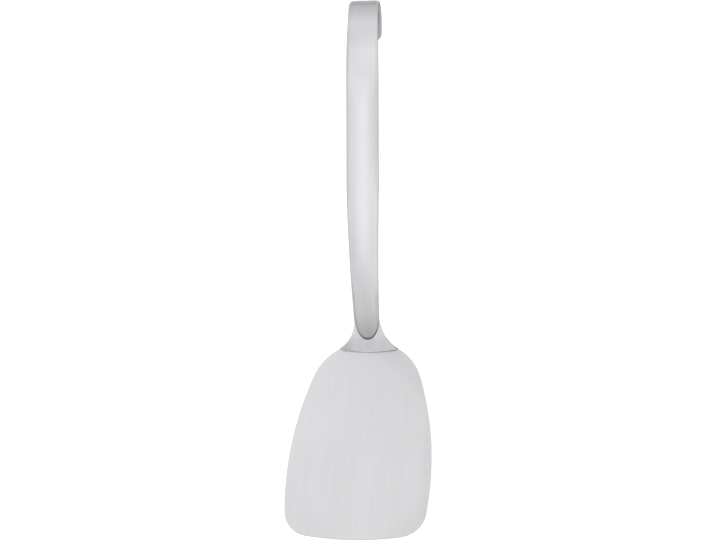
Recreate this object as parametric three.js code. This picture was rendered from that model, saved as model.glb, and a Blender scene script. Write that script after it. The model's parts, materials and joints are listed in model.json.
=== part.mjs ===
// A flexible kitchen spatula of stainless steel sheet, in millimetres with +Z up.
// It lies on a table with its working side up, on the heel of the blade and on the hook's leg.
// +Y points to the hook, and the origin is under the middle of its box, on the table.
import * as THREE from 'three';

// Sheets
const HANDLE_THICKNESS = 2.0;
const NECK_THICKNESS = 1.5;
const BLADE_THICKNESS = 0.7;
const LAP_GAP = 0.3; // between lapped sheets, bridged by the weld nuggets

// Handle strip: lengths along its middle line, from the tongue's end to the hook's end
const TONGUE_SETBACK = 8.95; // from the neck plate's lower edge to the tongue's end
const TONGUE_LENGTH = 16.3; // flat stretch lapped on the neck plate
const TONGUE_WIDTH = 15.8;
const TONGUE_END_FLAT = 0.8; // width left straight at the tongue's arched end
const TONGUE_END_LENGTH = 13.5; // length of the arched end
const TONGUE_END_FULLNESS = 1.75; // 2 would make half an ellipse, less is more pointed
const TONGUE_TIP_THICKNESS = 1.1;
const GRIND_LENGTH = 20; // length over which the tongue's top is ground down to its tip
const ARCH_RADIUS = 305;
const ARCH_TURN = 15.3; // degrees
const GRIP_LENGTH = 81;
const GRIP_WIDTH = 20.3;
const GRIP_TAPER = 81.5; // length over which the tongue's width grows to the grip's
const GRIP_CROWN = 1.6; // height of the grip's middle above its edges
const CROWN_RISE = 42; // length over which the crown grows, from the start of the arch
const CROWN_FALL = 34; // length over which the crown dies out, up to the end of the grip
const CREST_RADIUS = 90;
const CREST_TURN = 19; // degrees
const HOOK_INNER_RADIUS = 4.8;
const HOOK_WIDTH = 18.7;
const HOOK_TAPER = 48; // length over which the grip's width shrinks to the hook's
const HOOK_LEG = 17.8;
const HOOK_CORNER_RADIUS = 5;

// Neck plate, whose edges run on into the blade's outline
const NECK_WIDTH = 15.3;
const NECK_TOP_MARGIN = 3; // flat tongue left bare above the neck plate
const LAP_CORNER_RADIUS = 2.5; // upper corners of the neck plate and of the tang
const NECK_EDGE_RADIUS = 95; // convex lower edge
const FLARE_LENGTH = 21.95; // from the neck plate's lower edge up to where it starts to widen
const FLARE_RADIUS = 25;

// Blade: lengths along the sheet from the neck plate's lower edge
const BLADE_LENGTH = 126.25;
const BLADE_WIDTH = 89.6;
const BLADE_WIDEST = 86.25; // from the neck plate's lower edge to the widest place
const SHOULDER_RADIUS = 35.7;
const SIDE_RADIUS = 216;
const CORNER_RADIUS = 17;
const EDGE_RADIUS = 195; // convex front edge
const TANG_TOP_MARGIN = 2; // neck plate left bare above the tang
const TANG_OVERHANG = 0.3; // flat tang past the neck plate's lower edge
const BEND_RADIUS = 0.8; // inside of the bend from the tang into the blade
const BEND_TURN = 42.3; // degrees
const FLEX_GAP = 0.3; // cut between the tang and the blade at the flexing line

// Weld nuggets
const WELD_DIAMETER = 5;
const WELD_CLEARANCE = 0.05;
const CENTRE_WELD_PITCH = 6;
const SIDE_WELD_SPREAD = 17;
const SIDE_WELD_HEIGHT = 5.5; // above the neck plate's lower edge

// Fineness of the facets
const STRIP_STEP = 8; // along the handle
const TANG_STEP = 2;
const TURN_STEP = 11; // degrees
const STRIP_FACETS = 8; // across the handle
const END_STEPS = 6;
const OUTLINE_STEPS = 14;
const WELD_SIDES = 24;

const radians = THREE.MathUtils.degToRad;
const neckLength = TONGUE_SETBACK + TONGUE_LENGTH - NECK_TOP_MARGIN;
const tangLength = neckLength - TANG_TOP_MARGIN;
const tangTop = -NECK_THICKNESS - LAP_GAP;
const tangMiddle = tangTop - BLADE_THICKNESS / 2;

// Stretches of a path in the YZ plane; headings and turns are radians from +Y towards +Z
function straight(length) {
  return { length, turn: 0 };
}

function bend(radius, turn) {
  return { length: radius * Math.abs(turn), turn };
}

function pathLength(stretches) {
  return stretches.reduce((sum, stretch) => sum + stretch.length, 0);
}

// Place and heading at a distance along a path that starts at { y, z, heading, stretches }
function placeAlong(path, distance) {
  const place = { y: path.y, z: path.z, heading: path.heading };
  let left = distance;
  for (const stretch of path.stretches) {
    const step = Math.min(left, stretch.length);
    const turn = stretch.turn * step / stretch.length;
    const chord = turn === 0 ? step : 2 * step / turn * Math.sin(turn / 2);
    place.y += chord * Math.cos(place.heading + turn / 2);
    place.z += chord * Math.sin(place.heading + turn / 2);
    place.heading += turn;
    left -= step;
  }
  return place;
}

// Distances at which a path is cut into facets no longer than a step
function facetStations(stretches, longest) {
  const stations = [0];
  let start = 0;
  for (const { length, turn } of stretches) {
    const facets = Math.ceil(Math.max(length / longest, Math.abs(turn) / radians(TURN_STEP)));
    for (let i = 1; i <= facets; i += 1) stations.push(start + length * i / facets);
    start += length;
  }
  return stations;
}

// Distances from a round end at which its outline is cut into facets
function endStations(length) {
  return Array.from({ length: END_STEPS }, (_, i) => length * (1 - Math.cos(Math.PI / 2 * i / END_STEPS)));
}

// Half of a strip's width near an end whose two corners are rounded
function roundedHalf(half, distance, cornerWidth, cornerLength, fullness = 2) {
  const reach = Math.max(0, 1 - distance / cornerLength);
  return half - cornerWidth * (1 - Math.sqrt(1 - reach ** fullness));
}

// A closed sheet swept along a path, with rows of points across its top face (1) and its back (-1)
function sheetGeometry(path, stations, facets, halfWidthAt, liftAt) {
  const positions = [];
  for (const station of stations) {
    const { y, z, heading } = placeAlong(path, station);
    const half = halfWidthAt(station);
    for (const face of [1, -1]) {
      for (let i = 0; i <= facets; i += 1) {
        const across = 2 * i / facets - 1;
        const lift = liftAt(station, across, face);
        positions.push(half * across, y - lift * Math.sin(heading), z + lift * Math.cos(heading));
      }
    }
  }
  const index = [];
  const quad = (a, b, c, d) => index.push(a, b, c, a, c, d);
  const point = (row, face, i) => (row * 2 + face) * (facets + 1) + i;
  const last = stations.length - 1;
  for (let row = 0; row < last; row += 1) {
    const next = row + 1;
    for (let i = 0; i < facets; i += 1) {
      quad(point(row, 0, i), point(row, 0, i + 1), point(next, 0, i + 1), point(next, 0, i));
      quad(point(row, 1, i), point(next, 1, i), point(next, 1, i + 1), point(row, 1, i + 1));
    }
    quad(point(row, 0, 0), point(next, 0, 0), point(next, 1, 0), point(row, 1, 0));
    quad(point(row, 0, facets), point(row, 1, facets), point(next, 1, facets), point(next, 0, facets));
  }
  for (let i = 0; i < facets; i += 1) {
    quad(point(0, 0, i), point(0, 1, i), point(0, 1, i + 1), point(0, 0, i + 1));
    quad(point(last, 0, i), point(last, 0, i + 1), point(last, 1, i + 1), point(last, 1, i));
  }
  const geometry = new THREE.BufferGeometry();
  geometry.setAttribute('position', new THREE.Float32BufferAttribute(positions, 3));
  geometry.setIndex(index);
  geometry.computeVertexNormals();
  return geometry;
}

// Where two circles cross, on the right of the way from the first centre to the second
function crossing(first, firstRadius, second, secondRadius) {
  const way = second.clone().sub(first);
  const distance = way.length();
  const along = (firstRadius ** 2 - secondRadius ** 2 + distance ** 2) / (2 * distance);
  const aside = Math.sqrt(firstRadius ** 2 - along ** 2);
  way.normalize();
  const right = new THREE.Vector2(way.y, -way.x);
  return first.clone().addScaledVector(way, along).addScaledVector(right, aside);
}

// Point at a given radius from a centre, in the direction of another point
function pointTowards(centre, target, radius) {
  return target.clone().sub(centre).setLength(radius).add(centre);
}

// Points on the short arc from one point to another about a centre
function arcPoints(centre, from, to, steps) {
  const start = from.clone().sub(centre);
  const end = to.clone().sub(centre);
  const turn = Math.atan2(start.cross(end), start.dot(end));
  return Array.from({ length: steps + 1 }, (_, i) => from.clone().rotateAround(centre, turn * i / steps));
}

function mirrored(point) {
  return new THREE.Vector2(-point.x, point.y);
}

// Right half of the outline that the neck and the blade share, on the flat sheet:
// x across, y along the sheet towards the front edge, from the neck plate's lower edge
const flareCentre = new THREE.Vector2(NECK_WIDTH / 2 + FLARE_RADIUS, -FLARE_LENGTH);
const sideCentre = new THREE.Vector2(BLADE_WIDTH / 2 - SIDE_RADIUS, BLADE_WIDEST);
const edgeCentre = new THREE.Vector2(0, BLADE_LENGTH - EDGE_RADIUS);
const shoulderCentre = crossing(
  flareCentre, FLARE_RADIUS + SHOULDER_RADIUS, sideCentre, SIDE_RADIUS - SHOULDER_RADIUS);
const cornerCentre = crossing(
  edgeCentre, EDGE_RADIUS - CORNER_RADIUS, sideCentre, SIDE_RADIUS - CORNER_RADIUS);
const flareEnd = pointTowards(flareCentre, shoulderCentre, FLARE_RADIUS);
const shoulderEnd = pointTowards(sideCentre, shoulderCentre, SIDE_RADIUS);
const cornerStart = pointTowards(sideCentre, cornerCentre, SIDE_RADIUS);
const cornerEnd = pointTowards(edgeCentre, cornerCentre, EDGE_RADIUS);

// Half of the outline's width at a distance along the sheet, from the neck to the widest place
function outlineHalf(along) {
  const offset = (centre, radius) => Math.sqrt(radius ** 2 - (along - centre.y) ** 2);
  if (along < -FLARE_LENGTH) return NECK_WIDTH / 2;
  if (along < flareEnd.y) return flareCentre.x - offset(flareCentre, FLARE_RADIUS);
  if (along < shoulderEnd.y) return shoulderCentre.x + offset(shoulderCentre, SHOULDER_RADIUS);
  return sideCentre.x + offset(sideCentre, SIDE_RADIUS);
}

// Points on the outline between two distances along the sheet
function outlinePoints(from, to) {
  return Array.from({ length: OUTLINE_STEPS + 1 }, (_, i) => {
    const along = THREE.MathUtils.lerp(from, to, i / OUTLINE_STEPS);
    return new THREE.Vector2(outlineHalf(along), along);
  });
}

// A flat plate with its top face at z = 0 and its front towards -Y. Its right edge runs from the back to
// the front, where an arc about a point on the middle line closes it.
function plateGeometry(rightEdge, frontCentre, thickness) {
  const frontCorner = rightEdge.at(-1);
  const front = arcPoints(frontCentre, frontCorner, mirrored(frontCorner), 2 * END_STEPS).slice(1, -1);
  const outline = [...rightEdge, ...front, ...rightEdge.map(mirrored).reverse()];
  const shape = new THREE.Shape(outline.map((point) => new THREE.Vector2(point.x, -point.y)));
  const geometry = new THREE.ExtrudeGeometry(shape, { depth: thickness, bevelEnabled: false });
  return geometry.translate(0, 0, -thickness);
}

function steel(colour, roughness) {
  return new THREE.MeshStandardMaterial({ color: colour, roughness, metalness: 1 });
}

const handleSteel = steel(0xd2d2d1, 0.34);
const neckSteel = steel(0xc4c5c5, 0.42);
const bladeSteel = steel(0xcfd0d0, 0.38);
const weldSteel = steel(0x9c9a97, 0.6);

const spatula = new THREE.Group();

function addPiece(name, geometry, material) {
  const mesh = new THREE.Mesh(geometry, material);
  mesh.name = name;
  spatula.add(mesh);
  return mesh;
}

// The pieces are built with the neck plate level, its lower edge at y = 0 and its top face at z = 0.
// The table is the line that touches the blade's heel and the hook from below.
const tongueToCrest = [
  straight(TONGUE_LENGTH),
  bend(ARCH_RADIUS, -radians(ARCH_TURN)),
  straight(GRIP_LENGTH),
  bend(CREST_RADIUS, -radians(CREST_TURN)),
];
const handlePath = {
  y: TONGUE_SETBACK,
  z: LAP_GAP + HANDLE_THICKNESS / 2,
  heading: 0,
  stretches: tongueToCrest,
};
const crestLength = pathLength(tongueToCrest);
const crestEnd = placeAlong(handlePath, crestLength);
const hookRadius = HOOK_INNER_RADIUS + HANDLE_THICKNESS / 2;
const hookCentre = new THREE.Vector2(
  crestEnd.y + hookRadius * Math.sin(crestEnd.heading), crestEnd.z - hookRadius * Math.cos(crestEnd.heading));
const heelCentre = new THREE.Vector2(-TANG_OVERHANG, tangTop + BEND_RADIUS);
const heelToHook = hookCentre.clone().sub(heelCentre);
const hookOutside = hookRadius + HANDLE_THICKNESS / 2;
const heelOutside = BEND_RADIUS + BLADE_THICKNESS;
const tableSlope = Math.atan2(heelToHook.y, heelToHook.x)
  - Math.asin((hookOutside - heelOutside) / heelToHook.length());

// Handle: one strip from the arched tongue to the hook, whose leg lies flat on the table
const hookTurn = tableSlope - Math.PI - crestEnd.heading;
handlePath.stretches = [...tongueToCrest, bend(hookRadius, hookTurn), straight(HOOK_LEG)];
const handleLength = pathLength(handlePath.stretches);
const gripEnd = pathLength(tongueToCrest.slice(0, 3));

function handleHalf(station) {
  const grown = THREE.MathUtils.clamp((station - TONGUE_END_LENGTH) / GRIP_TAPER, 0, 1);
  const shrunk = THREE.MathUtils.smoothstep(station, crestLength - HOOK_TAPER, crestLength);
  const grip = THREE.MathUtils.lerp(TONGUE_WIDTH, GRIP_WIDTH, grown);
  const half = THREE.MathUtils.lerp(grip, HOOK_WIDTH, shrunk) / 2;
  const tongue = roundedHalf(
    half, station, (TONGUE_WIDTH - TONGUE_END_FLAT) / 2, TONGUE_END_LENGTH, TONGUE_END_FULLNESS);
  const hook = roundedHalf(half, handleLength - station, HOOK_CORNER_RADIUS, HOOK_CORNER_RADIUS);
  return Math.min(tongue, hook);
}

function handleLift(station, across, face) {
  const risen = THREE.MathUtils.smoothstep(station, TONGUE_LENGTH, TONGUE_LENGTH + CROWN_RISE);
  const fallen = THREE.MathUtils.smoothstep(station, gripEnd - CROWN_FALL, gripEnd);
  const crown = GRIP_CROWN * risen * (1 - fallen) * (1 - across * across);
  const bare = Math.max(0, 1 - station / GRIND_LENGTH);
  const ground = face > 0 ? (HANDLE_THICKNESS - TONGUE_TIP_THICKNESS) * bare * bare : 0;
  return crown + face * HANDLE_THICKNESS / 2 - ground;
}

const handleStations = [
  ...endStations(TONGUE_END_LENGTH),
  ...facetStations(handlePath.stretches, STRIP_STEP).filter(
    (station) => station >= TONGUE_END_LENGTH && station <= handleLength - HOOK_CORNER_RADIUS),
  ...endStations(HOOK_CORNER_RADIUS).reverse().map((distance) => handleLength - distance),
];
addPiece('handle', sheetGeometry(
  handlePath, handleStations, STRIP_FACETS, handleHalf, handleLift), handleSteel);

// Neck plate: rounded at the top under the tongue, fishtailed, with a convex lower edge
const neckEdgeCentre = new THREE.Vector2(0, -NECK_EDGE_RADIUS);
const neckTip = crossing(flareCentre, FLARE_RADIUS, neckEdgeCentre, NECK_EDGE_RADIUS);
const neckShoulder = -neckLength + LAP_CORNER_RADIUS;
const neckCornerCentre = new THREE.Vector2(outlineHalf(neckShoulder) - LAP_CORNER_RADIUS, neckShoulder);
const neckTop = new THREE.Vector2(neckCornerCentre.x, -neckLength);
const neckSide = outlinePoints(neckShoulder, neckTip.y);
addPiece('neck_plate', plateGeometry([
  ...arcPoints(neckCornerCentre, neckTop, neckSide[0], END_STEPS),
  ...neckSide.slice(1),
], neckEdgeCentre, NECK_THICKNESS), neckSteel);

// Tang: the blade's root, lapped under the neck plate and bent up into the blade's slope
const tangPath = {
  y: tangLength,
  z: tangMiddle,
  heading: Math.PI,
  stretches: [
    straight(tangLength + TANG_OVERHANG),
    bend(BEND_RADIUS + BLADE_THICKNESS / 2, -radians(BEND_TURN)),
  ],
};
const tangEnd = pathLength(tangPath.stretches);
const flexLine = placeAlong(tangPath, tangEnd);
const flexAlong = tangEnd - tangLength;

function tangHalf(station) {
  return roundedHalf(outlineHalf(station - tangLength), station, LAP_CORNER_RADIUS, LAP_CORNER_RADIUS);
}

function tangLift(station, across, face) {
  return face * BLADE_THICKNESS / 2;
}

const tangStations = [
  ...endStations(LAP_CORNER_RADIUS),
  ...facetStations(tangPath.stretches, TANG_STEP).filter((station) => station >= LAP_CORNER_RADIUS),
];
addPiece('blade_tang', sheetGeometry(tangPath, tangStations, 1, tangHalf, tangLift), bladeSteel);

// Blade: the free leaf beyond the flexing line
const leafStart = flexAlong + FLEX_GAP;
const widestPoint = new THREE.Vector2(BLADE_WIDTH / 2, BLADE_WIDEST);
const leaf = addPiece('blade', plateGeometry([
  ...outlinePoints(leafStart, BLADE_WIDEST),
  ...arcPoints(sideCentre, widestPoint, cornerStart, END_STEPS).slice(1),
  ...arcPoints(cornerCentre, cornerStart, cornerEnd, END_STEPS).slice(1),
], edgeCentre, BLADE_THICKNESS), bladeSteel);
leaf.geometry.translate(0, flexAlong, BLADE_THICKNESS / 2);
leaf.position.set(0, flexLine.y, flexLine.z);
leaf.rotation.x = -radians(BEND_TURN);

// Weld nuggets in the two laps
function addWeld(name, x, y, lapMiddle) {
  const nugget = new THREE.CylinderGeometry(
    WELD_DIAMETER / 2, WELD_DIAMETER / 2, LAP_GAP - 2 * WELD_CLEARANCE, WELD_SIDES);
  const mesh = addPiece(name, nugget.rotateX(Math.PI / 2), weldSteel);
  mesh.position.set(x, y, lapMiddle);
}

const tongueLap = LAP_GAP / 2;
const tangLap = -NECK_THICKNESS - LAP_GAP / 2;
const centreWeld = (TONGUE_SETBACK + neckLength) / 2;
addWeld('tongue_weld_upper', 0, centreWeld + CENTRE_WELD_PITCH / 2, tongueLap);
addWeld('tongue_weld_lower', 0, centreWeld - CENTRE_WELD_PITCH / 2, tongueLap);
addWeld('tang_weld_upper', 0, centreWeld + CENTRE_WELD_PITCH / 2, tangLap);
addWeld('tang_weld_lower', 0, centreWeld - CENTRE_WELD_PITCH / 2, tangLap);
addWeld('tang_weld_left', -SIDE_WELD_SPREAD / 2, SIDE_WELD_HEIGHT, tangLap);
addWeld('tang_weld_right', SIDE_WELD_SPREAD / 2, SIDE_WELD_HEIGHT, tangLap);

// Lay the spatula on the table, with the middle of its box over the origin
spatula.rotation.x = -tableSlope;
const box = new THREE.Box3().setFromObject(spatula, true);
spatula.position.set(0, -(box.min.y + box.max.y) / 2, -box.min.z);

export default spatula;
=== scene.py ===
# Looks of a flexible kitchen spatula of stainless steel sheet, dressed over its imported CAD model.
# Lengths are in metres. The sheets repeat the CAD model's sizes, with finer edges, laps and welds.
import json
import math

import bmesh
import bpy
from mathutils import Euler, Matrix, Vector
from mathutils.geometry import delaunay_2d_cdt


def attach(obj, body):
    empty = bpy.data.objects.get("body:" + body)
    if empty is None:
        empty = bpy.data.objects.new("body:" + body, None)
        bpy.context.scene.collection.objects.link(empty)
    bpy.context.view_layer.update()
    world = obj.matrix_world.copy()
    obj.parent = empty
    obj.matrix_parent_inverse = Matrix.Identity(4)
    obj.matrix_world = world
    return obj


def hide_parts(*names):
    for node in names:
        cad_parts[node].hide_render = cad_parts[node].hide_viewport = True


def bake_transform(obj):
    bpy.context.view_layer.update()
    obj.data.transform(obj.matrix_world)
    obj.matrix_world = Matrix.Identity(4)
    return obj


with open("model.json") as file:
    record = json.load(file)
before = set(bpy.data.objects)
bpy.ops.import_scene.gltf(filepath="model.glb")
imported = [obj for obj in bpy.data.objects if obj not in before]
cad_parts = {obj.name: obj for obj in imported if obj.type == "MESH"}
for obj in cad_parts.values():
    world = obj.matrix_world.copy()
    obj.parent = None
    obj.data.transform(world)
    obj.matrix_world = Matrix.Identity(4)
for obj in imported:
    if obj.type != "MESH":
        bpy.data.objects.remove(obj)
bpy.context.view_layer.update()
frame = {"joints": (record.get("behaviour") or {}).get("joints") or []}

# Sheets
HANDLE_THICKNESS = 0.0020
NECK_THICKNESS = 0.0015
BLADE_THICKNESS = 0.0007
LAP_GAP = 0.0003

# Handle strip, along its middle line from the tongue's end to the hook's end
TONGUE_SETBACK = 0.00895
TONGUE_LENGTH = 0.0163
TONGUE_WIDTH = 0.0158
TONGUE_END_FLAT = 0.0008
TONGUE_END_LENGTH = 0.0135
TONGUE_END_FULLNESS = 1.75  # 2 would make half an ellipse, less is more pointed
TONGUE_TIP_THICKNESS = 0.0011
GRIND_LENGTH = 0.020
ARCH_RADIUS = 0.305
ARCH_TURN = math.radians(15.3)
GRIP_LENGTH = 0.081
GRIP_WIDTH = 0.0203
GRIP_TAPER = 0.0815
GRIP_CROWN = 0.0016
CROWN_RISE = 0.042
CROWN_FALL = 0.034
CREST_RADIUS = 0.090
CREST_TURN = math.radians(19)
HOOK_INNER_RADIUS = 0.0048
HOOK_WIDTH = 0.0187
HOOK_TAPER = 0.048
HOOK_LEG = 0.0178
HOOK_CORNER_RADIUS = 0.005
HOOK_DRAW_IN = 0.00025  # on each side, where the strip is bent round
HOOK_DRAW_LENGTH = 0.004
HOOK_LEG_SPREAD = 0.00020  # on each side of the leg
HOOK_SPREAD_REACH = 0.005  # before and past the bend's end

# Neck plate
NECK_WIDTH = 0.0153
NECK_TOP_MARGIN = 0.003
LAP_CORNER_RADIUS = 0.0025
NECK_EDGE_RADIUS = 0.095
FLARE_LENGTH = 0.02195
FLARE_RADIUS = 0.025

# Blade, along the sheet from the neck plate's lower edge
BLADE_LENGTH = 0.12625
BLADE_WIDTH = 0.0896
BLADE_WIDEST = 0.08625
SHOULDER_RADIUS = 0.0357
SIDE_RADIUS = 0.216
CORNER_RADIUS = 0.017
EDGE_RADIUS = 0.195
TANG_TOP_MARGIN = 0.002
TANG_OVERHANG = 0.0003
TANG_INSET = 0.0004  # on each side, under the neck plate
TANG_INSET_FADE = 0.004
BEND_RADIUS = 0.0008
BEND_TURN = math.radians(42.3)
BOW_LENGTH = 0.060  # length over which the bend's curve dies out
FLEX_LENGTH = 0.014  # length at the leaf's narrow root that takes up its bending

# Rounded edges: width across the face and drop down the wall
HANDLE_ROLL = (0.0020, 0.0009)
TIP_ROLL_SHARE = 0.55  # share of the roll that the tongue's end has
TIP_ROLL_GROWS = (0.004, 0.010)  # from and to these stations
SLIM_ROLL_SHARE = 0.4  # share of the roll that is left between the grip and the tongue
SLIM_ROLL_STARTS = (0.026, 0.044)
SLIM_ROLL_ENDS = (0.080, 0.098)
HANDLE_BACK_ROUND = (0.0002, 0.0002)
NECK_EASE = (0.0090, 0.0008)  # along the neck plate's lower edge
NECK_EASE_END_DROP = 0.0006  # at that edge's two ends
NECK_EASE_POWER = 1.25  # 1 would make a flat slope
NECK_ROUND = (0.00020, 0.00020)
BLADE_ROUND = (0.00018, 0.00018)
SEAM_ROUND = (0.00012, 0.00012)
ROLL_START = math.radians(55)  # a soft crease bounds the handle's rolled edges
SUPPORT = 0.0002  # face kept flat inside a rounded edge

# Welds
WELD_RADIUS = 0.0025
WELD_DENT = 0.00012
WELD_DENT_FLOOR = 0.4  # share of the dent's radius that is flat
CENTRE_WELD_PITCH = 0.006
SIDE_WELD_SPREAD = 0.017
SIDE_WELD_HEIGHT = 0.0055
TONGUE_BEAD = 0.0011  # weld metal, darkened as a painted shadow line, that shows round the tongue's end
NECK_BEAD = 0.00036  # weld metal, darkened as a painted shadow line, that shows at the middle of the neck plate's lower edge
NECK_BEAD_RADIUS = 0.120  # flatter than that edge, so that more of the painted shadow line shows at its ends
SEAM_RECESS = 0.0001
TANG_SEAM_RECESS = 0.0003

# Fineness of the meshes
STRIP_STEP = 0.0018
HOOK_STEP = 0.0007
BLADE_STEP = 0.0028
TANG_STEP = 0.0004
ROOT_STEP = 0.0014
EASE_ROWS = (0.0006, 0.0016, 0.0005)  # first, last and step, inside the neck plate's lower edge
EASE_STEP = 0.0009
EASE_MARGIN = 0.0010  # kept free at the rows' ends
END_STEPS = 14
ROLL_STEPS = 6
ROUND_STEPS = 3
SMALL_ROUND_STEPS = 2
WELD_RINGS = 4
WELD_SIDES = 20
COLUMN_MARGIN = 0.4  # share of a column's width kept free beside the rounded edges
MITRE_LIMIT = 0.4  # smallest cosine by which a corner's inset is divided
ON_MIDDLE_LINE = 1e-7
TRIANGLE_SCALE = 1000  # triangles are found in millimetres
TRIANGLE_TOLERANCE = 1e-6
INSIDE_ONLY = 1

# Brushed steel
FINE_DETAIL = 3.0
COARSE_DETAIL = 2.0
BROADER = 7  # how much broader and longer the broad streaks are than the fine ones
LONGER = 5
CLOUD_GRAIN = (45.0, 30.0)
CLOUD_FAINTNESS = 3
NOISE_RANGE = (0.3, 0.7)  # part of a noise's range that counts
CLOUD_ROUGHNESS_RANGE = (0.35, 0.65)
ROUGHNESS_SPREAD = 0.05
CLOUD_ROUGHNESS_SPREAD = 0.02
BUMP_STRENGTH = 0.25
BUMP_DEPTH = 0.00002

# Stage
WHITE = (1.0, 1.0, 1.0, 1.0)
FLOOR_RADIUS = 4.0
FLOOR_SIDES = 96
FLOOR_DROP = 0.0001  # below the table's plane
FLOOR_ROUGHNESS = 0.9
FLOOR_NOISE_SCALE = 30.0
FLOOR_TONES = (0.93, 0.95)
FLOOR_GLOW = 0.25

# Camera: the photograph's place and lens
CAMERA_PLACE = (0.23626, -0.01160, 1.27832)
CAMERA_TURN = (0.30500, 10.76938, -0.38543)  # degrees
CAMERA_LENS = 103.98  # millimetres
CAMERA_FRAME = 36.0  # millimetres wide


# Paths in the YZ plane: stretches of a length and a turn, in radians from +Y towards +Z
def straight(length):
    return (length, 0.0)


def bend(radius, turn):
    return (radius * abs(turn), turn)


def path_length(stretches):
    return sum(length for length, _ in stretches)


def place_along(path, distance):
    y, z, heading = path["start"]
    left = distance
    for length, whole_turn in path["stretches"]:
        step = min(left, length)
        turn = whole_turn * step / length
        chord = 2 * step / turn * math.sin(turn / 2) if turn else step
        y += chord * math.cos(heading + turn / 2)
        z += chord * math.sin(heading + turn / 2)
        heading += turn
        left -= step
    return y, z, heading


def not_bowed(x, along):
    return 0.0


def flat_path(length, top, thickness):
    return {
        "start": (length, top - thickness / 2, math.pi),
        "up": -1,
        "bow": not_bowed,
        "stretches": [straight(length)],
    }


def swept(path, x, along, lift):
    bow = path["bow"](x, along)
    y, z, heading = place_along(path, along + bow)
    lift *= path["up"]
    return Vector((x, y + bow - lift * math.sin(heading), z + lift * math.cos(heading)))


def smoothstep(value, low, high):
    share = min(1.0, max(0.0, (value - low) / (high - low)))
    return share * share * (3 - 2 * share)


def lerp(low, high, share):
    return low + (high - low) * share


def spaced(start, end, step):
    count = max(1, math.ceil(abs(end - start) / step))
    return [lerp(start, end, i / count) for i in range(count + 1)]


def end_stations(length):
    return [length * (1 - math.cos(math.pi / 2 * i / END_STEPS)) for i in range(END_STEPS)]


def front_stations(start_half, radius, end, step):
    return [end - radius + math.sqrt(radius ** 2 - x ** 2) for x in spaced(start_half, 0.0, step)]


def rounded_half(half, distance, corner_width, corner_length, fullness=2):
    reach = min(1.0, max(0.0, 1 - distance / corner_length))
    return half - corner_width * (1 - math.sqrt(1 - reach ** fullness))


# Flat outline that neck and blade share: x across, y along from the neck plate's lower edge
def crossing(first, first_radius, second, second_radius):
    way = second - first
    distance = way.length
    along = (first_radius ** 2 - second_radius ** 2 + distance ** 2) / (2 * distance)
    aside = math.sqrt(first_radius ** 2 - along ** 2)
    way.normalize()
    return first + way * along + Vector((way.y, -way.x)) * aside


def point_towards(centre, target, radius):
    return centre + (target - centre).normalized() * radius


flare_centre = Vector((NECK_WIDTH / 2 + FLARE_RADIUS, -FLARE_LENGTH))
side_centre = Vector((BLADE_WIDTH / 2 - SIDE_RADIUS, BLADE_WIDEST))
edge_centre = Vector((0.0, BLADE_LENGTH - EDGE_RADIUS))
shoulder_centre = crossing(
    flare_centre, FLARE_RADIUS + SHOULDER_RADIUS, side_centre, SIDE_RADIUS - SHOULDER_RADIUS)
corner_centre = crossing(
    edge_centre, EDGE_RADIUS - CORNER_RADIUS, side_centre, SIDE_RADIUS - CORNER_RADIUS)
flare_end = point_towards(flare_centre, shoulder_centre, FLARE_RADIUS)
shoulder_end = point_towards(side_centre, shoulder_centre, SIDE_RADIUS)
corner_start = point_towards(side_centre, corner_centre, SIDE_RADIUS)
corner_end = point_towards(edge_centre, corner_centre, EDGE_RADIUS)


def arc_half(centre, radius, along):
    return math.sqrt(max(0.0, radius ** 2 - (along - centre.y) ** 2))


def outline_half(along):
    if along < -FLARE_LENGTH:
        return NECK_WIDTH / 2
    if along < flare_end.y:
        return flare_centre.x - arc_half(flare_centre, FLARE_RADIUS, along)
    if along < shoulder_end.y:
        return shoulder_centre.x + arc_half(shoulder_centre, SHOULDER_RADIUS, along)
    if along < corner_start.y:
        return side_centre.x + arc_half(side_centre, SIDE_RADIUS, along)
    if along < corner_end.y:
        return corner_centre.x + arc_half(corner_centre, CORNER_RADIUS, along)
    return arc_half(edge_centre, EDGE_RADIUS, along)


# The handle's path, and the table that the blade's heel and the hook rest on, in the frame of the neck plate
neck_length = TONGUE_SETBACK + TONGUE_LENGTH - NECK_TOP_MARGIN
tang_length = neck_length - TANG_TOP_MARGIN
tang_top = -NECK_THICKNESS - LAP_GAP
handle_path = {
    "start": (TONGUE_SETBACK, LAP_GAP + HANDLE_THICKNESS / 2, 0.0),
    "up": 1,
    "bow": not_bowed,
    "stretches": [
        straight(TONGUE_LENGTH),
        bend(ARCH_RADIUS, -ARCH_TURN),
        straight(GRIP_LENGTH),
        bend(CREST_RADIUS, -CREST_TURN),
    ],
}
grip_end = path_length(handle_path["stretches"][:3])
crest_end = path_length(handle_path["stretches"])
crest_y, crest_z, crest_heading = place_along(handle_path, crest_end)
hook_radius = HOOK_INNER_RADIUS + HANDLE_THICKNESS / 2
heel_to_hook = Vector((
    crest_y + hook_radius * math.sin(crest_heading) + TANG_OVERHANG,
    crest_z - hook_radius * math.cos(crest_heading) - tang_top - BEND_RADIUS,
))
outside_step = hook_radius + HANDLE_THICKNESS / 2 - BEND_RADIUS - BLADE_THICKNESS
table_slope = math.atan2(heel_to_hook.y, heel_to_hook.x) - math.asin(outside_step / heel_to_hook.length)
hook_turn = table_slope - math.pi - crest_heading
handle_path["stretches"] += [bend(hook_radius, hook_turn), straight(HOOK_LEG)]
handle_length = path_length(handle_path["stretches"])
hook_end = handle_length - HOOK_LEG

neck_edge_centre = Vector((0.0, -NECK_EDGE_RADIUS))
neck_tip = crossing(flare_centre, FLARE_RADIUS, neck_edge_centre, NECK_EDGE_RADIUS)


def neck_sag(x):
    beside = min(abs(x), neck_tip.x)
    return NECK_EDGE_RADIUS - math.sqrt(NECK_EDGE_RADIUS ** 2 - beside ** 2)


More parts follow.
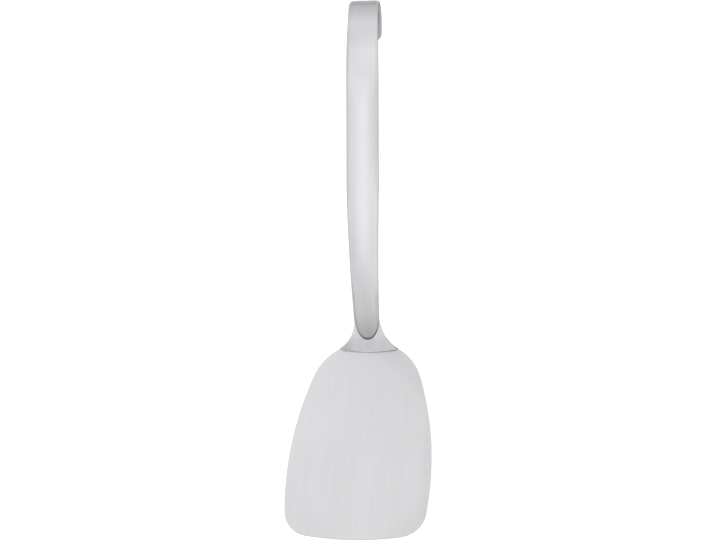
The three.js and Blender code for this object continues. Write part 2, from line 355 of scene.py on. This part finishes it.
# The blade's bend runs beside the neck plate's curved lower edge, and its curve dies out along the leaf
def blade_bow(x, along):
    return neck_sag(x) * (1 - smoothstep(along, flex_station, flex_station + BOW_LENGTH))


blade_path = {
    "start": (tang_length, tang_top - BLADE_THICKNESS / 2, math.pi),
    "up": -1,
    "bow": blade_bow,
    "stretches": [
        straight(tang_length + TANG_OVERHANG),
        bend(BEND_RADIUS + BLADE_THICKNESS / 2, -BEND_TURN),
        straight(BLADE_LENGTH),
    ],
}
flex_station = path_length(blade_path["stretches"][:2])
blade_end = tang_length + BLADE_LENGTH

# From the frame of the neck plate to the CAD frame, by way of the flexing line
flex_joint = frame["joints"][0]
lay_down = Matrix.Rotation(-table_slope, 4, "X")
flex_line = swept(blade_path, 0.0, flex_station, 0.0)
to_frame = Matrix.Translation(Vector(flex_joint["pos_m"]) - lay_down @ flex_line) @ lay_down


# Meshes
def rounding(size, steps, start=math.pi / 2):
    width, drop = size
    rim = [(width + SUPPORT, 0.0)]
    for i in range(steps + 1):
        angle = start * (1 - i / steps)
        rim.append((
            width * (1 - math.cos(angle)) / (1 - math.cos(start)),
            drop * (1 - math.sin(angle) / math.sin(start)),
        ))
    return rim


def flat_faces(thickness):
    return (lambda x, station: thickness / 2, lambda x, station: -thickness / 2)


def closed_outline(stations, half):
    right = [Vector((half(station), station)) for station in stations]
    left = [Vector((-point.x, point.y)) for point in reversed(right) if point.x > ON_MIDDLE_LINE]
    return right + left


def inward_normals(outline):
    normals = []
    for i, point in enumerate(outline):
        before = (point - outline[i - 1]).normalized()
        after = (outline[(i + 1) % len(outline)] - point).normalized()
        first = Vector((-before.y, before.x))
        second = Vector((-after.y, after.x))
        middle = (first + second).normalized()
        normals.append(middle / max(MITRE_LIMIT, middle.dot(first)))
    return normals


def face_points(path, stations, half, rim_width, columns):
    points = []
    for station in stations[1:-1]:
        reach = half(station) - rim_width - columns * COLUMN_MARGIN
        if reach > 0 and stations[0] < station - rim_width and station + rim_width < stations[-1]:
            side = int(reach / columns)
            for x in [i * columns for i in range(-side, side + 1)]:
                point = Vector((x, station - path["bow"](x, station)))
                if point.y > stations[0] + rim_width:
                    points.append(point)
    return points


def face_triangles(loop, inner):
    points = [point * TRIANGLE_SCALE for point in loop + inner]
    boundary = [list(range(len(loop)))]
    found = delaunay_2d_cdt(points, [], boundary, INSIDE_ONLY, TRIANGLE_TOLERANCE)
    triangles, sources = found[2], found[3]
    return [[sources[corner][0] for corner in triangle] for triangle in triangles]


def evenly_rounded(station):
    return 1.0


def sheet_object(
        name, path, stations, half, faces, rims, columns, materials, extra=(), share=evenly_rounded):
    """A closed sheet on a path, with rounded edges. faces and rims are those of its top and of its back.

    extra holds more points of the faces, and share tells how much of the rims' rounding a station gets.
    """
    outline = closed_outline(stations, half)
    normals = inward_normals(outline)
    widest_rim = max(rim[0][0] for rim in rims)
    inner = [*extra, *face_points(path, stations, half, widest_rim, columns)]

    mesh = bmesh.new()
    uv_layer = mesh.loops.layers.uv.new("sheet")
    flat_place = {}

    def add_point(flat, lift):
        vert = mesh.verts.new(to_frame @ swept(path, flat.x, flat.y, lift))
        flat_place[vert] = flat
        return vert

    def add_face(corners, material):
        face = mesh.faces.new(corners)
        face.material_index = material
        face.smooth = True

    loops = []
    for face, rim, sign in ((faces[0], rims[0], 1), (faces[1], rims[1], -1)):
        side_loops = []
        for inset, drop in rim:
            side_loop = []
            for point, normal in zip(outline, normals):
                flat = point + normal * inset * share(point.y)
                side_loop.append(add_point(flat, face(flat.x, flat.y) - sign * drop * share(point.y)))
            side_loops.append(side_loop)
        loops.append(side_loops)
    # The wall, one band above it and two below it have the second material
    wall = len(rims[0]) - 1
    rings = loops[0] + loops[1][::-1]
    for k, (ring, next_ring) in enumerate(zip(rings, rings[1:])):
        material = 1 if wall - 1 <= k <= wall + 2 else 0
        for i in range(len(outline)):
            add_face((ring[i - 1], ring[i], next_ring[i], next_ring[i - 1]), material)

    support = [flat_place[vert] for vert in loops[0][0]]
    triangles = face_triangles(support, inner)
    for face, rim_loops, turned in ((faces[0], loops[0], False), (faces[1], loops[1], True)):
        corners = rim_loops[0] + [add_point(flat, face(flat.x, flat.y)) for flat in inner]
        for triangle in triangles:
            order = reversed(triangle) if turned else triangle
            add_face([corners[i] for i in order], 0)

    bmesh.ops.recalc_face_normals(mesh, faces=mesh.faces)
    for face in mesh.faces:
        for loop in face.loops:
            loop[uv_layer].uv = flat_place[loop.vert]
    data = bpy.data.meshes.new(name)
    mesh.to_mesh(data)
    mesh.free()
    for material in materials:
        data.materials.append(material)
    sheet = bpy.data.objects.new(name, data)
    bpy.context.scene.collection.objects.link(sheet)
    return sheet


# Materials
def add_node(tree, kind, **values):
    made = tree.nodes.new(kind)
    for key, value in values.items():
        setattr(made, key, value)
    return made


def streaks(tree, uv, across, along, detail):
    stretched = add_node(tree, "ShaderNodeMapping")
    stretched.inputs["Scale"].default_value = (across, along, 1.0)
    tree.links.new(uv, stretched.inputs["Vector"])
    noise = add_node(tree, "ShaderNodeTexNoise")
    noise.inputs["Scale"].default_value = 1.0
    noise.inputs["Detail"].default_value = detail
    tree.links.new(stretched.outputs["Vector"], noise.inputs["Vector"])
    return noise.outputs["Fac"]


def ranged(tree, source, low, high, to_low, to_high):
    node = add_node(tree, "ShaderNodeMapRange", interpolation_type="SMOOTHSTEP")
    for name, value in (("From Min", low), ("From Max", high), ("To Min", to_low), ("To Max", to_high)):
        node.inputs[name].default_value = value
    tree.links.new(source, node.inputs["Value"])
    return node.outputs["Result"]


def combined(tree, operation, first, second):
    node = add_node(tree, "ShaderNodeMath", operation=operation)
    for socket, source in zip(node.inputs, (first, second)):
        if isinstance(source, (int, float)):
            socket.default_value = source
        else:
            tree.links.new(source, socket)
    return node.outputs["Value"]


def dotted(tree, source, way):
    node = add_node(tree, "ShaderNodeVectorMath", operation="DOT_PRODUCT")
    node.inputs[1].default_value = way
    tree.links.new(source, node.inputs[0])
    return node.outputs["Value"]


def steel(name, colour, roughness, contrast, grain, anisotropy, painted_light_and_shade=(), edge_tint=1.0):
    """Brushed steel, with its grain along the sheet.

    painted_light_and_shade holds light and shade painted into the colour, as (tone, ramps), and a tone is
    full where each of its ramps, (way, start, end), is past its end.
    """
    material = bpy.data.materials.new(name)
    material.use_nodes = True
    tree = material.node_tree
    shader = tree.nodes["Principled BSDF"]
    shader.inputs["Metallic"].default_value = 1.0
    shader.inputs["Anisotropic"].default_value = anisotropy
    shader.inputs["Specular Tint"].default_value = (edge_tint, edge_tint, edge_tint, 1.0)
    uv = add_node(tree, "ShaderNodeUVMap", uv_map="sheet").outputs["UV"]
    across, along = grain
    fine = streaks(tree, uv, across, along, FINE_DETAIL)
    broad = streaks(tree, uv, across / BROADER, along / LONGER, COARSE_DETAIL)
    cloudy = streaks(tree, uv, *CLOUD_GRAIN, COARSE_DETAIL)
    grainy = combined(tree, "MULTIPLY", combined(tree, "ADD", fine, broad), 0.5)
    faint = contrast / CLOUD_FAINTNESS
    clouds = ranged(tree, cloudy, *NOISE_RANGE, 1 - faint, 1 + faint)
    tone = ranged(tree, grainy, *NOISE_RANGE, 1 - contrast, 1 + contrast)
    tone = combined(tree, "MULTIPLY", tone, clouds)
    # light and shade painted into the colour, one tone at a time
    for full_tone, ramps in painted_light_and_shade:
        change = full_tone - 1.0
        for way, start, end in ramps:
            risen = ranged(tree, dotted(tree, uv, way), start, end, 0.0, 1.0)
            change = combined(tree, "MULTIPLY", change, risen)
        tone = combined(tree, "MULTIPLY", tone, combined(tree, "ADD", change, 1.0))
    tinted = add_node(tree, "ShaderNodeVectorMath", operation="SCALE")
    tinted.inputs["Vector"].default_value = colour
    tree.links.new(tone, tinted.inputs["Scale"])
    tree.links.new(tinted.outputs["Vector"], shader.inputs["Base Color"])
    rough_clouds = ranged(
        tree, cloudy, *CLOUD_ROUGHNESS_RANGE, -CLOUD_ROUGHNESS_SPREAD, CLOUD_ROUGHNESS_SPREAD)
    rough = ranged(tree, grainy, *NOISE_RANGE, roughness - ROUGHNESS_SPREAD, roughness + ROUGHNESS_SPREAD)
    rough = combined(tree, "ADD", rough, rough_clouds)
    tree.links.new(rough, shader.inputs["Roughness"])
    tangent = add_node(tree, "ShaderNodeTangent", direction_type="UV_MAP", uv_map="sheet")
    tree.links.new(tangent.outputs["Tangent"], shader.inputs["Tangent"])
    bump = add_node(tree, "ShaderNodeBump")
    bump.inputs["Strength"].default_value = BUMP_STRENGTH
    bump.inputs["Distance"].default_value = BUMP_DEPTH
    tree.links.new(fine, bump.inputs["Height"])
    tree.links.new(bump.outputs["Normal"], shader.inputs["Normal"])
    return material


LONG_GRAIN = (2000.0, 70.0)
SHORT_GRAIN = (1500.0, 600.0)
BRUSHED = {"grain": LONG_GRAIN, "anisotropy": 0.2}
ROUGH = {"grain": SHORT_GRAIN, "anisotropy": 0.0}
# Cut edges: a rougher finish, and a dark colour and dimmed edge tint that also paint the shade along the
# sheets' side walls and the outer bands of their rounded edges
CUT_EDGE_AND_SHADE = {"colour": (0.280, 0.283, 0.289), "roughness": 0.48, "contrast": 0.10, "edge_tint": 0.4, **ROUGH}

# Ways on the flat sheet along which the painted light and shade sets in
ACROSS = (1.0, 0.0, 0.0)
ALONG = (0.0, 1.0, 0.0)
TO_LEFT_TIP = (-0.126, 1.0, 0.0)
TO_RIGHT_SHOULDER = (1.0, -1.0, 0.0)
TO_RIGHT_CORNER = (1.0, 1.0, 0.0)
TO_LEFT_CORNER = (-1.0, 1.0, 0.0)

# Painted light and shade along the handle: a darker tongue, lighter and darker bands along the arch and its
# sides, a painted highlight and shade across the grip, a darker crest and hook bend, and a lighter hook leg
# where it lies in the handle's shadow
HANDLE_PAINTED_SHADING = (
    # tongue and arch
    (0.82, ((ALONG, GRIND_LENGTH, 0.0),)),
    (1.06, ((ALONG, 0.020, 0.034),)),
    (0.965, ((ALONG, 0.044, 0.062),)),
    # sides of the arch
    (0.85, ((ACROSS, 0.0052, 0.0076), (ALONG, 0.036, 0.026))),
    (1.05, ((ACROSS, 0.0050, 0.0085), (ALONG, 0.036, 0.046), (ALONG, 0.094, 0.084))),
    (1.05, ((ACROSS, -0.0050, -0.0085), (ALONG, 0.040, 0.050), (ALONG, 0.090, 0.080))),
    # grip
    (0.92, ((ACROSS, 0.0026, 0.0074), (ALONG, 0.095, 0.120), (ALONG, 0.185, 0.150))),
    (0.945, ((ACROSS, 0.0088, 0.0058), (ALONG, 0.158, 0.170), (ALONG, 0.198, 0.186))),
    (0.945, ((ACROSS, 0.0020, -0.0070), (ALONG, 0.164, 0.176), (ALONG, 0.197, 0.186))),
    # crest and hook
    (0.93, ((ALONG, grip_end, crest_end),)),
    (0.76, ((ALONG, crest_end - 0.011, crest_end + 0.002),)),
    (0.80, ((ALONG, crest_end + 0.0022, crest_end + 0.0034),)),
    (2.85, ((ALONG, crest_end + 0.008, hook_end),)),
)
# Painted light and shade on the neck plate: painted shade towards its lower left corner, painted light on
# the slope to the lower edge, and a painted shadow at that edge's left end
NECK_PAINTED_SHADING = (
    # left side
    (0.82, ((ACROSS, -0.0075, -0.0150), (ALONG, 0.0120, 0.0190))),
    # slope to the lower edge, and that edge's left end
    (1.04, ((ALONG, neck_length - NECK_EASE[0], neck_length),)),
    (0.45, ((TO_LEFT_TIP, neck_length + 0.0003, neck_length + 0.0006), (ACROSS, -0.003, -0.009))),
)
# Painted light and shade on the blade: darker towards the right side and shoulder, lighter and darker
# patches over the root and the front half, and darker front corners
BLADE_PAINTED_SHADING = (
    # right side and shoulder
    (0.938, ((ACROSS, -BLADE_WIDTH / 2, BLADE_WIDTH / 2),)),
    (0.95, ((ACROSS, 0.40 * BLADE_WIDTH, 0.50 * BLADE_WIDTH),)),
    (0.94, ((TO_RIGHT_SHOULDER, -0.022, -0.006),)),
    # root, and the two sides of the front half
    (0.985, ((ALONG, tang_length + 0.050, tang_length + 0.030),)),
    (0.98, ((ACROSS, 0.000, -0.012), (ALONG, tang_length + 0.055, tang_length + 0.075))),
    (1.015, ((ACROSS, -0.006, 0.006), (ALONG, tang_length + 0.050, tang_length + 0.080))),
    # front corners
    (0.975, ((TO_LEFT_CORNER, blade_end, blade_end + 0.016),)),
    (0.955, ((TO_RIGHT_CORNER, blade_end + 0.006, blade_end + 0.026),)),
)
EDGE_PAINTED_HIGHLIGHTS = (
    # painted highlights on the cut edge beside the start of the hook, and beside the crest
    (2.2, ((ALONG, crest_end, crest_end + 0.002), (ALONG, crest_end + 0.007, crest_end + 0.004))),
    (1.5, ((ALONG, crest_end - 0.024, crest_end - 0.020), (ALONG, crest_end, crest_end - 0.004))),
)
NECK_EDGE_PAINTED_LIGHT = (
    # painted light on the edge, growing towards the tongue
    (1.8, ((ALONG, 0.0200, 0.0060),)),
)
WELD_SEAM_PAINTED_LIGHT = (
    # painted light: the seam's painted shadow line is lighter on its right half
    (1.6, ((ACROSS, -0.004, 0.004),)),
)

handle_steel = steel(
    "handle_steel", (0.494, 0.493, 0.505), roughness=0.36, contrast=0.035, painted_light_and_shade=HANDLE_PAINTED_SHADING, **BRUSHED)
neck_steel = steel(
    "neck_steel", (0.580, 0.579, 0.593), roughness=0.38, contrast=0.04, painted_light_and_shade=NECK_PAINTED_SHADING, **BRUSHED)
blade_steel = steel(
    "blade_steel", (0.548, 0.5475, 0.559), roughness=0.36, contrast=0.03, painted_light_and_shade=BLADE_PAINTED_SHADING, **BRUSHED)
edge_steel = steel("cut_edge_and_shade_steel", painted_light_and_shade=EDGE_PAINTED_HIGHLIGHTS, **CUT_EDGE_AND_SHADE)
neck_edge_steel = steel("neck_edge_steel", painted_light_and_shade=NECK_EDGE_PAINTED_LIGHT, **CUT_EDGE_AND_SHADE)
# weld metal, darkened to paint the shadow line at the laps' edges
weld_steel = steel(
    "weld_steel", (0.100, 0.098, 0.095), roughness=0.55, contrast=0.25, painted_light_and_shade=WELD_SEAM_PAINTED_LIGHT, **ROUGH)


# Handle: one strip from the round tongue to the hook
def handle_half(station):
    grown = min(1.0, max(0.0, (station - TONGUE_END_LENGTH) / GRIP_TAPER))
    shrunk = smoothstep(station, crest_end - HOOK_TAPER, crest_end)
    half = lerp(lerp(TONGUE_WIDTH, GRIP_WIDTH, grown), HOOK_WIDTH, shrunk) / 2
    bent = smoothstep(station, crest_end, crest_end + HOOK_DRAW_LENGTH)
    unbent = smoothstep(station, hook_end - HOOK_SPREAD_REACH, hook_end + HOOK_SPREAD_REACH)
    half += lerp(-HOOK_DRAW_IN * bent, HOOK_LEG_SPREAD, unbent)
    tongue = rounded_half(
        half, station, (TONGUE_WIDTH - TONGUE_END_FLAT) / 2, TONGUE_END_LENGTH, TONGUE_END_FULLNESS)
    hook = rounded_half(half, handle_length - station, HOOK_CORNER_RADIUS, HOOK_CORNER_RADIUS)
    return min(tongue, hook)


def handle_crown(x, station):
    risen = smoothstep(station, TONGUE_LENGTH, TONGUE_LENGTH + CROWN_RISE)
    fallen = smoothstep(station, grip_end - CROWN_FALL, grip_end)
    across = x / handle_half(station)
    return GRIP_CROWN * risen * (1 - fallen) * (1 - across * across)


def handle_top(x, station):
    bare = max(0.0, 1 - station / GRIND_LENGTH)
    ground = (HANDLE_THICKNESS - TONGUE_TIP_THICKNESS) * bare * bare
    return handle_crown(x, station) + HANDLE_THICKNESS / 2 - ground


def handle_back(x, station):
    return handle_crown(x, station) - HANDLE_THICKNESS / 2


def handle_roll(station):
    narrowing = smoothstep(station, *SLIM_ROLL_STARTS)
    widening = smoothstep(station, *SLIM_ROLL_ENDS)
    tip = lerp(TIP_ROLL_SHARE, 1.0, smoothstep(station, *TIP_ROLL_GROWS))
    return tip - (1 - SLIM_ROLL_SHARE) * narrowing * (1 - widening)


handle_stations = [
    *end_stations(TONGUE_END_LENGTH),
    *spaced(TONGUE_END_LENGTH, crest_end, STRIP_STEP)[:-1],
    *spaced(crest_end, hook_end, HOOK_STEP)[:-1],
    *spaced(hook_end, handle_length - HOOK_CORNER_RADIUS, STRIP_STEP)[:-1],
    handle_length - HOOK_CORNER_RADIUS,
    *[handle_length - distance for distance in reversed(end_stations(HOOK_CORNER_RADIUS))],
]
handle = sheet_object(
    "handle_strip", handle_path, handle_stations, handle_half, (handle_top, handle_back),
    (rounding(HANDLE_ROLL, ROLL_STEPS, ROLL_START), rounding(HANDLE_BACK_ROUND, SMALL_ROUND_STEPS)),
    STRIP_STEP, (handle_steel, edge_steel), share=handle_roll)
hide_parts("handle")
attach(handle, "handle")


# Neck plate: rounded at the top under the tongue, fishtailed, with a convex lower edge
def neck_half(station):
    along = station - neck_length
    if along < neck_tip.y:
        return rounded_half(outline_half(along), station, LAP_CORNER_RADIUS, LAP_CORNER_RADIUS)
    return arc_half(neck_edge_centre, NECK_EDGE_RADIUS, along)


def neck_top(x, station):
    width, middle_drop = NECK_EASE
    drop = lerp(middle_drop, NECK_EASE_END_DROP, (x / neck_tip.x) ** 2)
    near = max(0.0, 1 - (neck_length - neck_sag(x) - station) / width)
    return NECK_THICKNESS / 2 - drop * near ** NECK_EASE_POWER


def neck_back(x, station):
    return -NECK_THICKNESS / 2


neck_ease_points = []
for inside in spaced(*EASE_ROWS):
    reach = outline_half(neck_tip.y - inside) - EASE_MARGIN
    for x in spaced(-reach, reach, EASE_STEP):
        neck_ease_points.append(Vector((x, neck_length - neck_sag(x) - inside)))
neck_stations = [
    *end_stations(LAP_CORNER_RADIUS),
    *spaced(LAP_CORNER_RADIUS, neck_length + neck_tip.y, STRIP_STEP)[:-1],
    *front_stations(neck_tip.x, NECK_EDGE_RADIUS, neck_length, STRIP_STEP),
]
neck_rim = rounding(NECK_ROUND, ROUND_STEPS)
neck = sheet_object(
    "neck_fishtail", flat_path(neck_length, 0.0, NECK_THICKNESS), neck_stations, neck_half,
    (neck_top, neck_back), (neck_rim, neck_rim), STRIP_STEP, (neck_steel, neck_edge_steel), neck_ease_points)
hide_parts("neck_plate")
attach(neck, "handle")

# Blade: one spring sheet from the tang to the front edge, with weld dents on the back of the tang
centre_weld = (TONGUE_SETBACK + neck_length) / 2
weld_places = [
    Vector((0.0, tang_length - centre_weld - CENTRE_WELD_PITCH / 2)),
    Vector((0.0, tang_length - centre_weld + CENTRE_WELD_PITCH / 2)),
    Vector((-SIDE_WELD_SPREAD / 2, tang_length - SIDE_WELD_HEIGHT)),
    Vector((SIDE_WELD_SPREAD / 2, tang_length - SIDE_WELD_HEIGHT)),
]


def blade_half(station):
    along = station - tang_length
    inset = TANG_INSET * (1 - smoothstep(along, neck_tip.y - TANG_INSET_FADE, neck_tip.y))
    return rounded_half(outline_half(along) - inset, station, LAP_CORNER_RADIUS, LAP_CORNER_RADIUS)


def blade_top(x, station):
    return BLADE_THICKNESS / 2


def blade_back(x, station):
    nearest = min((place - Vector((x, station))).length for place in weld_places)
    dented = 1 - smoothstep(nearest, WELD_DENT_FLOOR * WELD_RADIUS, WELD_RADIUS)
    return WELD_DENT * dented - BLADE_THICKNESS / 2


corner_turn = [
    math.asin((point.y - corner_centre.y) / CORNER_RADIUS) for point in (corner_start, corner_end)]
blade_stations = [
    *end_stations(LAP_CORNER_RADIUS),
    *spaced(LAP_CORNER_RADIUS, tang_length + neck_tip.y, STRIP_STEP)[:-1],
    *spaced(tang_length + neck_tip.y, flex_station, TANG_STEP)[:-1],
    *spaced(flex_station, flex_station + FLEX_LENGTH, ROOT_STEP)[:-1],
    *spaced(flex_station + FLEX_LENGTH, tang_length + corner_start.y, BLADE_STEP)[:-1],
    *[tang_length + corner_centre.y + CORNER_RADIUS * math.sin(angle)
      for angle in spaced(corner_turn[0], corner_turn[1], BLADE_STEP / CORNER_RADIUS)[:-1]],
    *front_stations(corner_end.x, EDGE_RADIUS, blade_end, BLADE_STEP),
]
weld_points = list(weld_places)
for place in weld_places:
    for ring in range(1, WELD_RINGS + 1):
        for side in range(WELD_SIDES):
            angle = 2 * math.pi * side / WELD_SIDES
            reach = WELD_RADIUS * ring / WELD_RINGS
            weld_points.append(place + Vector((math.cos(angle), math.sin(angle))) * reach)
blade_rim = rounding(BLADE_ROUND, ROUND_STEPS)
blade = sheet_object(
    "blade_sheet", blade_path, blade_stations, blade_half, (blade_top, blade_back),
    (blade_rim, blade_rim), BLADE_STEP, (blade_steel, edge_steel), weld_points)
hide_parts("blade", "blade_tang")
bend_end = to_frame @ swept(blade_path, 0.0, flex_station + FLEX_LENGTH, 0.0)
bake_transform(blade)


# Weld metal in the two laps, which shows as a dark line at their edges: its dark colour is painted shadow
def tongue_seam_half(station):
    along = neck_length - station
    tongue = handle_half(max(0.0, along - TONGUE_SETBACK + TONGUE_BEAD))
    fade = smoothstep(along - TONGUE_SETBACK, 0.0, TONGUE_END_LENGTH)
    beaded = tongue + lerp(0.0, -SEAM_RECESS, fade)
    return min(beaded, neck_half(station) - SEAM_RECESS)


tongue_seam_end = neck_length - TONGUE_SETBACK + TONGUE_BEAD
tongue_seam_length = tongue_seam_end - LAP_CORNER_RADIUS
tongue_seam_stations = [
    LAP_CORNER_RADIUS,
    *[tongue_seam_end - distance for distance in reversed(end_stations(tongue_seam_length))],
]
seam_rim = rounding(SEAM_ROUND, SMALL_ROUND_STEPS)
tongue_seam = sheet_object(
    "tongue_weld_and_shadow_seam", flat_path(neck_length, LAP_GAP, LAP_GAP), tongue_seam_stations, tongue_seam_half,
    flat_faces(LAP_GAP), (seam_rim, seam_rim), STRIP_STEP, (weld_steel, weld_steel))
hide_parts("tongue_weld_upper", "tongue_weld_lower")
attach(tongue_seam, "handle")

bead_edge_centre = Vector((0.0, NECK_BEAD - NECK_BEAD_RADIUS))
bead_tip = crossing(flare_centre, FLARE_RADIUS, bead_edge_centre, NECK_BEAD_RADIUS)
tang_seam_end = neck_length + NECK_BEAD


def tang_seam_half(station):
    along = station - neck_length
    if along < bead_tip.y:
        return outline_half(along) - TANG_SEAM_RECESS
    return max(0.0, arc_half(bead_edge_centre, NECK_BEAD_RADIUS, along) - TANG_SEAM_RECESS)


tang_seam_stations = [
    *spaced(TANG_TOP_MARGIN + LAP_CORNER_RADIUS, neck_length + bead_tip.y, STRIP_STEP)[:-1],
    *front_stations(bead_tip.x, NECK_BEAD_RADIUS, tang_seam_end, STRIP_STEP),
]
tang_seam = sheet_object(
    "tang_weld_and_shadow_seam", flat_path(tang_seam_end, -NECK_THICKNESS, LAP_GAP), tang_seam_stations, tang_seam_half,
    flat_faces(LAP_GAP), (seam_rim, seam_rim), STRIP_STEP, (weld_steel, weld_steel))
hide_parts("tang_weld_upper", "tang_weld_lower", "tang_weld_left", "tang_weld_right")
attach(tang_seam, "handle")


# Stage: a pale floor under a soft studio dome
def pale_floor():
    material = bpy.data.materials.new("pale_floor")
    material.use_nodes = True
    tree = material.node_tree
    shader = tree.nodes["Principled BSDF"]
    shader.inputs["Roughness"].default_value = FLOOR_ROUGHNESS
    place = add_node(tree, "ShaderNodeTexCoord").outputs["Object"]
    noise = add_node(tree, "ShaderNodeTexNoise")
    noise.inputs["Scale"].default_value = FLOOR_NOISE_SCALE
    tree.links.new(place, noise.inputs["Vector"])
    tone = ranged(tree, noise.outputs["Fac"], *NOISE_RANGE, *FLOOR_TONES)
    tree.links.new(tone, shader.inputs["Base Color"])
    shader.inputs["Emission Color"].default_value = WHITE
    shader.inputs["Emission Strength"].default_value = FLOOR_GLOW
    return material


bpy.ops.mesh.primitive_circle_add(
    vertices=FLOOR_SIDES, radius=FLOOR_RADIUS, fill_type="NGON", location=(0.0, 0.0, -FLOOR_DROP))
floor = bpy.context.object
floor.name = "floor"
floor.data.materials.append(pale_floor())

# Dome brightness: a level, and changes that set in between two cosines of the angle to a direction
DOME_LEVEL = 1.36
DOME_CHANGES = (
    ((-0.146, 0.0, 0.989), 0.90, 1.0, 0.50),  # soft lamp overhead
    ((0.0, -1.0, 0.0), 0.2, 0.75, -0.28),  # dim in front of the blade
    ((-0.6, -0.8, 0.0), 0.35, 0.85, -0.36),  # dimmer in front on the left
    ((-1.0, 0.0, 0.0), 0.3, 0.95, -0.09),  # dim on the left
    ((0.0, 1.0, 0.0), 0.86, 1.0, -0.45),  # dim beyond the hook
    ((0.0, 0.0, -1.0), -0.4, 0.0, -0.35),  # dim low down
)
dome = bpy.data.worlds.new("studio_dome")
bpy.context.scene.world = dome
dome.use_nodes = True
dome_tree = dome.node_tree
way = add_node(dome_tree, "ShaderNodeTexCoord").outputs["Generated"]
level = DOME_LEVEL
for axis, low, high, change in DOME_CHANGES:
    cosine = dotted(dome_tree, way, axis)
    level = combined(dome_tree, "ADD", level, ranged(dome_tree, cosine, low, high, 0.0, change))
background = dome_tree.nodes["Background"]
dome_tree.links.new(level, background.inputs["Strength"])
background.inputs["Color"].default_value = WHITE

# Camera
camera_data = bpy.data.cameras.new("camera")
camera_data.lens = CAMERA_LENS
camera_data.sensor_width = CAMERA_FRAME
camera_data.sensor_fit = "HORIZONTAL"
camera = bpy.data.objects.new("camera", camera_data)
camera.location = CAMERA_PLACE
camera.rotation_euler = Euler([math.radians(angle) for angle in CAMERA_TURN])
bpy.context.scene.collection.objects.link(camera)
bpy.context.scene.camera = camera
bpy.context.scene.view_settings.view_transform = "Standard"
